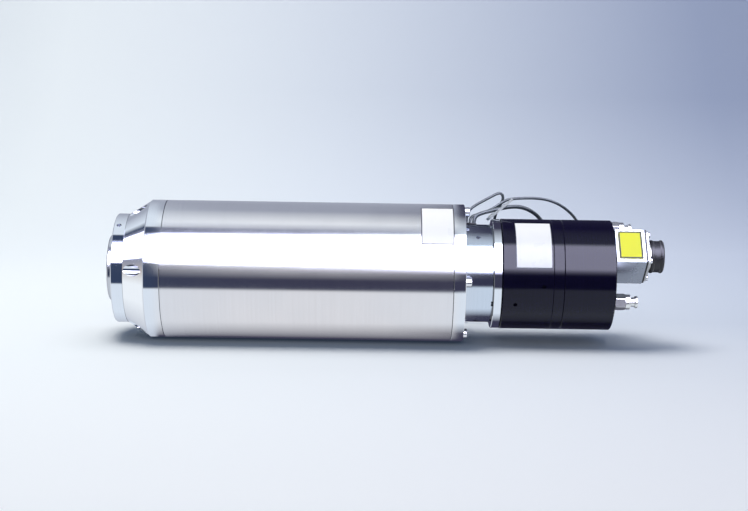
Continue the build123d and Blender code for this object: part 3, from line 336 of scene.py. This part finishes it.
# A route is the cable's own points from the grommet to its coil, and "coil" is the coil's middle on the table, all
# in metres. "wide" is how many turns lie side by side in each layer of the coil.
cables = (
    {
        "name": "sensor_cord_1", "solid": 1, "thick": 0.0036, "exit_x": 0.1501,
        "coil": (0.0700, 0.0854), "wide": 2.0, "turns": 5.23,
        "route": (
            (0.1503, 0.0130, 0.0487), (0.1530, 0.0141, 0.0519), (0.1584, 0.0150, 0.0540),
            (0.1660, 0.0158, 0.0559), (0.1742, 0.0161, 0.0581), (0.1840, 0.0172, 0.0599),
            (0.1935, 0.0202, 0.0596), (0.2020, 0.0251, 0.0564), (0.2102, 0.0340, 0.0508),
            (0.2168, 0.0436, 0.0430), (0.2216, 0.0528, 0.0330), (0.2246, 0.0614, 0.0214),
            (0.2258, 0.0694, 0.0086), (0.2252, 0.0768, -0.0048), (0.2226, 0.0838, -0.0180),
            (0.2176, 0.0902, -0.0306), (0.2100, 0.0960, -0.0420), (0.1996, 0.1008, -0.0512),
            (0.1868, 0.1046, -0.0574), (0.1724, 0.1074, -0.0602), (0.1572, 0.1088, -0.0606),
            (0.1340, 0.1094, -0.06065), (0.1020, 0.1082, -0.06065),
        ),
    },
    {
        "name": "sensor_cord_2", "solid": 2, "thick": 0.0026, "exit_x": 0.1465,
        "coil": (0.0240, 0.09958), "wide": 2.0, "turns": 5.99,
        "route": (
            (0.1466, 0.0141, 0.0478), (0.1484, 0.0169, 0.0503), (0.1528, 0.0187, 0.0519),
            (0.1586, 0.0196, 0.0536), (0.1646, 0.0201, 0.0558), (0.1704, 0.0206, 0.0591),
            (0.1754, 0.0207, 0.0627), (0.1808, 0.0208, 0.0660), (0.1876, 0.0205, 0.0672),
            (0.1958, 0.0206, 0.0676), (0.2048, 0.0220, 0.0677), (0.2150, 0.0247, 0.0669),
            (0.2278, 0.0299, 0.0630), (0.2392, 0.0374, 0.0555), (0.2484, 0.0472, 0.0464),
            (0.2544, 0.0556, 0.0358), (0.2582, 0.0636, 0.0236), (0.2598, 0.0712, 0.0106),
            (0.2596, 0.0786, -0.0030), (0.2574, 0.0860, -0.0164), (0.2528, 0.0930, -0.0294),
            (0.2456, 0.0994, -0.0410), (0.2356, 0.1050, -0.0506), (0.2232, 0.1096, -0.0574),
            (0.2092, 0.1132, -0.0607), (0.1944, 0.1158, -0.06115), (0.1720, 0.1176, -0.06115),
            (0.1400, 0.1178, -0.06115), (0.1040, 0.1162, -0.06115), (0.0660, 0.1173, -0.06115),
        ),
    },
    {
        "name": "sensor_cord_3", "solid": 3, "thick": 0.0026, "exit_x": 0.1433,
        "coil": (0.1170, 0.0852), "wide": 3.0, "turns": 8.31,
        "route": (
            (0.1434, 0.0133, 0.0510), (0.1458, 0.0150, 0.0566), (0.1518, 0.0174, 0.0609),
            (0.1594, 0.0199, 0.0649), (0.1666, 0.0219, 0.0686), (0.1712, 0.0230, 0.0710),
            (0.1754, 0.0238, 0.0720), (0.1777, 0.0239, 0.0682), (0.1762, 0.0240, 0.0628),
            (0.1736, 0.0245, 0.0581), (0.1714, 0.0245, 0.0532), (0.1702, 0.0266, 0.0479),
            (0.1698, 0.0326, 0.0424), (0.1700, 0.0404, 0.0368), (0.1704, 0.0488, 0.0304),
            (0.1708, 0.0572, 0.0228), (0.1710, 0.0650, 0.0138), (0.1708, 0.0722, 0.0032),
            (0.1702, 0.0786, -0.0084), (0.1688, 0.0842, -0.0206), (0.1662, 0.0890, -0.0328),
            (0.1618, 0.0932, -0.0442), (0.1552, 0.0970, -0.0534), (0.1454, 0.1004, -0.0594),
            (0.1318, 0.1026, -0.06115),
        ),
    },
)


def coil_point(cable, turn):
    """Where the cable is after so many turns: inward over the lowest layer, out over the next, and in again."""
    thick, wide = cable["thick"], cable["wide"]
    step = COIL_PITCH * thick
    layer = int(min(turn / wide, COIL_LAYERS - 1))
    share = turn - layer * wide
    inward = layer % 2 == 0
    radius = COIL_R * thick + step * (wide / 2 - share if inward else share - wide / 2)
    climb = max(0.0, min(1.0, 1 - (wide - share) / COIL_CLIMB)) if layer < COIL_LAYERS - 1 else 0.0
    height = TABLE + TABLE_GAP + thick / 2 + thick * (layer + climb)
    at = pi / 2 + tau * turn
    full = radius / cos(pi / COIL_POINTS)
    x, y = cable["coil"]
    return Vector((x + full * cos(at), y + full * sin(at), height))


def draw_line(name, points, thick, material, round_steps=4):
    """A round cord on one smooth spline."""
    curve = bpy.data.curves.new(name, "CURVE")
    curve.dimensions = "3D"
    curve.resolution_u = 6
    curve.bevel_depth = thick / 2
    curve.bevel_resolution = round_steps
    curve.use_fill_caps = True
    spline = curve.splines.new("NURBS")
    spline.points.add(len(points) - 1)
    for dot, place in zip(spline.points, points):
        dot.co = (*place, 1.0)
    spline.order_u = 3
    spline.use_endpoint_u = True
    piece = bpy.data.objects.new(name, curve)
    bpy.context.scene.collection.objects.link(piece)
    curve.materials.append(material)
    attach(piece, "housing")
    return piece


core_colours = {
    "brown": grained("brown core", (0.16, 0.06, 0.03), 0.4, 0.0005, 0.1),
    "blue": grained("blue core", (0.03, 0.12, 0.42), 0.4, 0.0005, 0.1),
    "black": grained("black core", (0.02, 0.02, 0.022), 0.4, 0.0005, 0.1),
}
tinned = turned_metal("tinned wire", (0.72, 0.72, 0.70), 0.3, 9000, 0.1, 0.3)


def cable_cores(cable):
    """The stripped end: three coloured cores that fan out of the jacket, each with a tinned tip."""
    pieces = []
    thick = cable["thick"]
    start = cable["turns"]
    for side, (colour, finish) in zip((-1, 0, 1), core_colours.items()):
        line = []
        for k in range(CORE_PLACES):
            turn = start + (k - 1) / (CORE_PLACES - 2) * STRIPPED / (tau * COIL_R * thick)
            middle = coil_point(cable, turn)
            outward = (middle - Vector((*cable["coil"], middle.z))).normalized()
            line.append(middle + outward * side * thick * (CORE_THICK + CORE_SPREAD * max(0, k - 1)))
        pieces.append(draw_line(f"{cable['name']}_{colour}", line, thick * CORE_THICK, finish, 2))
        run = (line[-1] - line[-2]).normalized()
        tip = [line[-1] + run * along for along in (WIRE_START, WIRE_MIDDLE, WIRE_END)]
        pieces.append(draw_line(f"{cable['name']}_{colour}_tip", tip, thick * WIRE_THICK, tinned, 2))
    return pieces


def coil_strap(cable, at, tag):
    """A small cable tie round the turns of a coil: a flat band with its locking head on top."""
    thick, wide = cable["thick"], cable["wide"]
    deep = (wide * COIL_PITCH + 1) * thick + 1.5 * STRAP_BAND
    high = COIL_LAYERS * thick + STRAP_BAND
    shape = bmesh.new()
    bmesh.ops.create_grid(shape, x_segments=1, y_segments=1, size=0.5)
    bmesh.ops.scale(shape, vec=(deep, high, 1), verts=shape.verts)
    bmesh.ops.bevel(shape, geom=shape.verts[:], offset=STRAP_CORNER, segments=4, profile=0.5, material=-1,
                    affect="VERTICES")
    ring = bmesh.ops.inset_region(shape, faces=shape.faces[:], thickness=STRAP_BAND, use_even_offset=True)
    inner = [face for face in shape.faces if face not in ring["faces"]]
    bmesh.ops.delete(shape, geom=inner, context="FACES")
    rim = bmesh.ops.extrude_face_region(shape, geom=shape.faces[:])
    far = [v for v in rim["geom"] if isinstance(v, bmesh.types.BMVert)]
    bmesh.ops.translate(shape, vec=(0, 0, STRAP_WIDTH), verts=far)
    head = bmesh.ops.create_cube(shape, size=1.0)["verts"]
    bmesh.ops.scale(shape, vec=STRAP_HEAD, verts=head)
    bmesh.ops.translate(shape, vec=(deep * 0.18, high / 2 + STRAP_BAND / 2, STRAP_WIDTH / 2), verts=head)
    edges = {edge for vert in head for edge in vert.link_edges}
    bmesh.ops.bevel(shape, geom=list(edges), offset=STRAP_HEAD_CORNER, segments=2, profile=0.5, material=-1,
                    affect="EDGES")
    bmesh.ops.recalc_face_normals(shape, faces=shape.faces)
    bmesh.ops.translate(shape, vec=(0, 0, -STRAP_WIDTH / 2), verts=shape.verts)
    out = Vector((cos(at), sin(at), 0))
    across = Vector((-sin(at), cos(at), 0))
    x, y = cable["coil"]
    height = TABLE + TABLE_GAP + COIL_LAYERS * thick / 2 + STRAP_LIFT
    middle = Vector((x, y, height)) + out * COIL_R * thick
    turn = Matrix((out, Vector((0, 0, 1)), -across)).transposed().to_4x4()
    bmesh.ops.transform(shape, matrix=Matrix.Translation(middle) @ turn, verts=shape.verts)
    return finish_piece(f"{cable['name']}_strap_{tag}", shape, finishes["white_nylon"])


def lay_cables():
    for cable in cables:
        exit_place = Vector((cable["exit_x"], CABLE_OUTLET_Y, CABLE_OUTLET_Z))
        points = [exit_place] + [Vector(p) for p in cable["route"]]
        count = int(cable["turns"] * COIL_POINTS)
        points += [coil_point(cable, k / COIL_POINTS) for k in range(count)]
        points.append(coil_point(cable, cable["turns"]))
        cord = draw_line(cable["name"], points, cable["thick"], finishes["grey_cable"])
        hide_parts(f"sensor_cable_{cable['solid']}", f"sensor_cable_coil_{cable['solid']}")
        others = cable_cores(cable) + [coil_strap(cable, radians(at), tag) for tag, at in (("a", 25), ("b", 205))]
        if cable["solid"] == 1:
            others.append(nodes["cable_tie"])


# ---------------------------------------------------------------- stickers
def sheet_shape(width, height, corner, thick, cuts):
    """A flat sheet with round corners in X and Y, its flat size kept in its UV map in metres."""
    shape = bmesh.new()
    bmesh.ops.create_grid(shape, x_segments=1, y_segments=1, size=0.5)
    bmesh.ops.scale(shape, vec=(width, height, 1), verts=shape.verts)
    bmesh.ops.bevel(shape, geom=shape.verts[:], offset=corner, segments=4, profile=0.5, material=-1,
                    affect="VERTICES")
    top = bmesh.ops.extrude_face_region(shape, geom=shape.faces[:])
    bmesh.ops.translate(shape, vec=(0, 0, thick), verts=[v for v in top["geom"] if isinstance(v, bmesh.types.BMVert)])
    for k in range(1, cuts):
        bmesh.ops.bisect_plane(
            shape, geom=shape.verts[:] + shape.edges[:] + shape.faces[:], dist=1e-7,
            plane_co=(0, height * (k / cuts - 0.5), 0), plane_no=(0, 1, 0))
    bmesh.ops.recalc_face_normals(shape, faces=shape.faces)
    flat = shape.loops.layers.uv.new("flat")
    for face in shape.faces:
        for loop in face.loops:
            loop[flat].uv = (loop.vert.co.x, loop.vert.co.y)
    return shape


def printed_sheet(name, colour, border, width, height, frame_in, frame_thick, rough):
    """A glossy printed sheet: one plain colour with a thin frame line near its edge."""
    material, tree, shader = new_material(name)
    place = new_node(tree, "ShaderNodeUVMap", uv_map="flat").outputs[0]
    part = new_node(tree, "ShaderNodeSeparateXYZ", {0: place}).outputs
    gaps = [
        maths(tree, "SUBTRACT", size / 2, maths(tree, "ABSOLUTE", part[k]))
        for k, size in enumerate((width, height))
    ]
    edge = maths(tree, "MINIMUM", gaps[0], gaps[1])
    off = maths(tree, "ABSOLUTE", maths(tree, "SUBTRACT", edge, frame_in + frame_thick / 2))
    line = remap(tree, off, frame_thick * 0.42, frame_thick * 0.58, 1.0, 0.0, True)
    grain = use_group(tree, fine_grain, {"Size": 0.0003, "Patch size": 0.012})
    ink = blend_colour(tree, remap(tree, grain["Patches"], 0, 1, 0, 0.25), colour, shade(colour, 0.93))
    tree.links.new(blend_colour(tree, line, ink, border), shader.inputs["Base Color"])
    tree.links.new(remap(tree, grain["Patches"], 0, 1, rough * 0.85, rough * 1.25), shader.inputs["Roughness"])
    bump = new_node(tree, "ShaderNodeBump", {"Height": grain["Grain"], "Strength": 0.06, "Distance": 0.00004})
    tree.links.new(bump.outputs[0], shader.inputs["Normal"])
    return material


def wrap(shape, radius, x, at):
    """Bends a flat sheet round the spindle axis: its Y runs up round the body."""
    for vert in shape.verts:
        turn = radians(at) + vert.co.y / radius
        out = radius + vert.co.z
        vert.co = (x + vert.co.x, -out * cos(turn), out * sin(turn))


# Each sticker: its ends along X, its lower and upper edge in degrees round the body, the body's radius, and its
# frame line's place in from the edge, thickness and colour
STICKERS = {
    "sleeve_label": (0.1003, 0.1298, 30.5, 74.6, SLEEVE_R, 0.0, 0.0009, (0.03, 0.03, 0.05)),
    "cylinder_label": (0.1852, 0.2168, 13.8, 73.0, CYLINDER_R, 0.0, 0.00035, (0.42, 0.42, 0.48)),
}
STICKER_CUTS = 28
STICKER_THICK = 0.00012
STICKER_CORNER = 0.0008
GLUE_GAP = 0.00002
STICKER_WHITE = (0.94, 0.94, 0.96)
PLATE_YELLOW = (0.86, 0.85, 0.04)
PLATE_BLACK = (0.02, 0.02, 0.02)
PLATE_WIDTH, PLATE_HEIGHT, PLATE_THICK = 0.0212, 0.0290, 0.0006
PLATE_CORNER = 0.0016
PLATE_FROM_REAR_FACE = 0.01285


def stick_labels():
    for name, (x0, x1, low, high, radius, frame_in, thick, ink) in STICKERS.items():
        width = x1 - x0
        height = radius * radians(high - low)
        shape = sheet_shape(width, height, STICKER_CORNER, STICKER_THICK, STICKER_CUTS)
        wrap(shape, radius + GLUE_GAP, (x0 + x1) / 2, (low + high) / 2)
        sheet = printed_sheet(name.replace("_", " "), STICKER_WHITE, ink, width, height, frame_in, thick, 0.3)
        finish_piece(name, shape, sheet, smooth=40.0)


def box_matrix(out):
    """Sets a flat sheet on the connector box's outer face, its Z away from the axis."""
    radial = spot(0, 1, BOX_AT)
    tangent = spot(0, 1, BOX_AT + 90)
    turn = Matrix((Vector((1, 0, 0)), tangent, radial)).transposed().to_4x4()
    return Matrix.Translation(radial * out) @ turn


def stick_plate():
    shape = sheet_shape(PLATE_WIDTH, PLATE_HEIGHT, PLATE_CORNER, PLATE_THICK, 1)
    bmesh.ops.translate(shape, vec=(REAR_FACE + PLATE_FROM_REAR_FACE, 0, 0), verts=shape.verts)
    bmesh.ops.transform(shape, matrix=box_matrix(BOX_R + BOX_SIDE / 2 + GLUE_GAP), verts=shape.verts)
    sheet = printed_sheet("yellow plate", PLATE_YELLOW, PLATE_BLACK, PLATE_WIDTH, PLATE_HEIGHT, 0.0002, 0.0014, 0.35)
    finish_piece("box_plate", shape, sheet)


# ---------------------------------------------------------------- stage, world and lamps
SHEET_SIDE = 6.0
SHEET_FRONT = -4.0
SHEET_BEND_Y = 0.6
SHEET_BEND_R = 0.8
SHEET_TOP = 3.5

# The sheet's colour with painted shade, darker towards the back and to the right: its shades from front to back at its
# left and at its right, and where one runs into the other
SHEET_LEFT_WITH_PAINTED_SHADE = ((0.0, (0.95, 0.97, 0.97)), (0.2, (0.87, 0.91, 0.92)), (1.0, (0.82, 0.86, 0.89)))
SHEET_RIGHT_WITH_PAINTED_SHADE = (
    (0.0, (0.90, 0.90, 0.95)), (0.3, (0.55, 0.60, 0.72)), (0.55, (0.60, 0.65, 0.78)), (0.85, (0.35, 0.40, 0.55)),
)
PAINTED_SHADE_DEPTH = (-0.6, 1.6)
PAINTED_SHADE_ACROSS = (-0.45, 0.60)


def lay_floor():
    """A pale sheet that lies flat under the spindle and curves up behind it; painted shade in its colour makes it
    darker towards the back and to the right.
    """
    shape = bmesh.new()
    bmesh.ops.create_circle(shape, segments=96, radius=SHEET_BEND_R)
    keep = [v for v in shape.verts if v.co.y < 1e-6 and v.co.x > -1e-6]
    bmesh.ops.delete(shape, geom=[v for v in shape.verts if v not in keep], context="VERTS")
    for vert in shape.verts:
        vert.co = (-SHEET_SIDE, SHEET_BEND_Y + vert.co.x, TABLE + SHEET_BEND_R + vert.co.y)
    first = min(shape.verts, key=lambda v: v.co.z)
    last = max(shape.verts, key=lambda v: v.co.z)
    near = shape.verts.new((-SHEET_SIDE, SHEET_FRONT, TABLE))
    high = shape.verts.new((-SHEET_SIDE, SHEET_BEND_Y + SHEET_BEND_R, SHEET_TOP))
    shape.edges.new((near, first))
    shape.edges.new((last, high))
    side = bmesh.ops.extrude_edge_only(shape, edges=shape.edges[:])
    far = [v for v in side["geom"] if isinstance(v, bmesh.types.BMVert)]
    bmesh.ops.translate(shape, vec=(2 * SHEET_SIDE, 0, 0), verts=far)
    bmesh.ops.recalc_face_normals(shape, faces=shape.faces)
    mesh = bpy.data.meshes.new("floor")
    for face in shape.faces:
        face.smooth = True
    shape.to_mesh(mesh)
    shape.free()
    floor = bpy.data.objects.new("floor", mesh)
    bpy.context.scene.collection.objects.link(floor)
    floor.visible_glossy = False

    material, tree, shader = new_material("floor paper with painted shade")
    place = new_node(tree, "ShaderNodeTexCoord").outputs["Object"]
    place = new_node(tree, "ShaderNodeSeparateXYZ", {0: place}).outputs
    # Painted shade: the sheet's colour darkens towards the back and to the right
    back = maths(tree, "ADD", place[1], place[2])
    depth = remap(tree, back, *PAINTED_SHADE_DEPTH, 0, 1)
    left = ramp(tree, depth, SHEET_LEFT_WITH_PAINTED_SHADE)[0]
    right = ramp(tree, depth, SHEET_RIGHT_WITH_PAINTED_SHADE)[0]
    across = remap(tree, place[0], *PAINTED_SHADE_ACROSS, 0, 1)
    tree.links.new(blend_colour(tree, across, left, right), shader.inputs["Base Color"])
    shader.inputs["Roughness"].default_value = 0.9
    shader.inputs["Specular IOR Level"].default_value = 0.0
    mesh.materials.append(material)


# The studio that shiny surfaces see: plain cards and cloths round the spindle, by the angle of a reflected ray
# round the axis in degrees. Each zone along the spindle has its own set. A soft box is brighter than its card by
# SOFT_BOX_GAIN, and RAMP_ROOM lets a card be brighter than 1.
CLOTH = (0.85, 0.85, 0.88)
PALE_CARD = (0.80, 0.88, 0.98)
BRIGHT_WALL = (1.00, 1.04, 1.08)
DIM_WALL = (0.40, 0.43, 0.52)
GREY_CARD = (0.30, 0.32, 0.42)
WARM_CARD = (0.60, 0.55, 0.52)
NAVY_CARD = (0.04, 0.06, 0.12)
BLACK_CARD = (0.05, 0.05, 0.09)
SOFT_BOX = (0.85, 0.85, 1.10)
SOFT_BOX_GAIN = 13.0
RAMP_ROOM = 1.4

# Where the sets change over, by the X part of a reflected ray
LEFT_ZONE = (-0.1350, -0.1330)
RIGHT_ZONE = (0.050, 0.053)
NOSE_END_ZONE = (-0.50, -0.34)
REAR_END_ZONE = (0.34, 0.50)

SKY = (0.34, 0.47, 0.70)
BACKDROP = (0.60, 0.64, 0.70)
DEEP_REFLECTION = 0.25

# Each lamp's place, what it points at, its size in metres and its power in watts
LAMPS = {
    "top lamp": ((-0.28, -0.12, 1.45), (0.06, 0.0, 0.0), 0.8, 14.6),
    "front lamp": ((-0.1, -1.6, 1.0), (0.06, -0.3, 0.0), 1.0, 4.2),
    "back lamp": ((0.05, 0.45, 1.30), (0.05, 1.4, 0.05), 1.2, 9.2),
}
LAMP_COLOUR = (1.0, 0.96, 0.88)

MIDDLE_CARDS = (
    (-150, BLACK_CARD), (-90, CLOTH), (-28, CLOTH), (-24, BLACK_CARD), (-8, BLACK_CARD), (14, CLOTH),
    (18, SOFT_BOX), (64, SOFT_BOX), (70, GREY_CARD), (76, GREY_CARD), (92, BRIGHT_WALL), (125, DIM_WALL),
)
LEFT_CARDS = (
    (-180, DIM_WALL), (-100, PALE_CARD), (-28, PALE_CARD), (-25, NAVY_CARD), (16, NAVY_CARD),
    (21, SOFT_BOX), (49, SOFT_BOX), (68, NAVY_CARD), (79, NAVY_CARD), (82, PALE_CARD), (105, PALE_CARD),
    (160, DIM_WALL),
)
RIGHT_CARDS = (
    (-115, BLACK_CARD), (-85, PALE_CARD), (-27, PALE_CARD), (-22, BLACK_CARD), (4, BLACK_CARD),
    (18, SOFT_BOX), (68, SOFT_BOX), (75, PALE_CARD), (118, BLACK_CARD),
)
CONE_CARDS = (
    (-180, DIM_WALL), (-90, BRIGHT_WALL), (-50, BRIGHT_WALL), (-5, WARM_CARD), (40, GREY_CARD),
    (50, SOFT_BOX), (101, SOFT_BOX), (107, GREY_CARD), (114, NAVY_CARD), (124, PALE_CARD), (150, DIM_WALL),
)


def light_studio():
    """Soft boxes and dark cards round the spindle for shiny surfaces, and even light from above for the rest."""
    world = bpy.data.worlds.new("studio")
    bpy.context.scene.world = world
    world.use_nodes = True
    tree = world.node_tree
    tree.nodes.clear()
    ray = new_node(tree, "ShaderNodeTexCoord").outputs["Generated"]
    ray = new_node(tree, "ShaderNodeSeparateXYZ", {0: ray}).outputs
    turn = maths(tree, "ARCTAN2", ray[2], maths(tree, "MULTIPLY", ray[1], -1.0))
    share = remap(tree, turn, -pi, pi, 0, 1)

    def cards(stops):
        colour, lamp = ramp(tree, share, [
            ((angle + 180) / 360, tuple(c / RAMP_ROOM for c in card), float(card is SOFT_BOX)) for angle, card in stops
        ])
        gain = maths(tree, "MULTIPLY_ADD", lamp, SOFT_BOX_GAIN, RAMP_ROOM)
        return new_node(tree, "ShaderNodeVectorMath", {0: colour, "Scale": gain}, operation="SCALE").outputs[0]

    seen = blend_colour(tree, remap(tree, ray[0], *LEFT_ZONE, 1, 0), cards(MIDDLE_CARDS), cards(LEFT_CARDS))
    seen = blend_colour(tree, remap(tree, ray[0], *NOSE_END_ZONE, 1, 0), seen, cards(CONE_CARDS))
    seen = blend_colour(tree, remap(tree, ray[0], *RIGHT_ZONE, 0, 1), seen, cards(RIGHT_CARDS))
    seen = blend_colour(tree, remap(tree, ray[0], *REAR_END_ZONE, 0, 1), seen, cards(CONE_CARDS))
    even = remap(tree, ray[2], -0.1, 0.7, 0.15, 0.55, True)
    sky = new_node(tree, "ShaderNodeVectorMath", {0: SKY, "Scale": even}, operation="SCALE").outputs[0]
    path = new_node(tree, "ShaderNodeLightPath").outputs
    mirrored = maths(tree, "MULTIPLY", path["Is Glossy Ray"], maths(tree, "LESS_THAN", path["Diffuse Depth"], 0.5))
    deep = remap(tree, path["Glossy Depth"], 1, 2, 1.0, DEEP_REFLECTION)
    seen = new_node(tree, "ShaderNodeVectorMath", {0: seen, "Scale": deep}, operation="SCALE").outputs[0]
    seen = blend_colour(tree, mirrored, sky, seen)
    seen = blend_colour(tree, path["Is Camera Ray"], seen, BACKDROP)
    background = new_node(tree, "ShaderNodeBackground", {"Color": seen, "Strength": 1.0})
    output = new_node(tree, "ShaderNodeOutputWorld")
    tree.links.new(background.outputs[0], output.inputs["Surface"])

    for name, (place, look, size, power) in LAMPS.items():
        lamp = bpy.data.objects.new(name, bpy.data.lights.new(name, "AREA"))
        lamp.data.shape = "DISK"
        lamp.data.size = size
        lamp.data.energy = power
        lamp.data.color = LAMP_COLOUR
        lamp.location = place
        lamp.rotation_euler = (Vector(look) - Vector(place)).to_track_quat("-Z", "Y").to_euler()
        lamp.visible_glossy = False
        bpy.context.scene.collection.objects.link(lamp)


# ---------------------------------------------------------------- all of it
place_camera()
dress_nodes()
lay_cables()
stick_labels()
stick_plate()
lay_floor()
light_studio()
bpy.context.scene.view_settings.view_transform = "Standard"
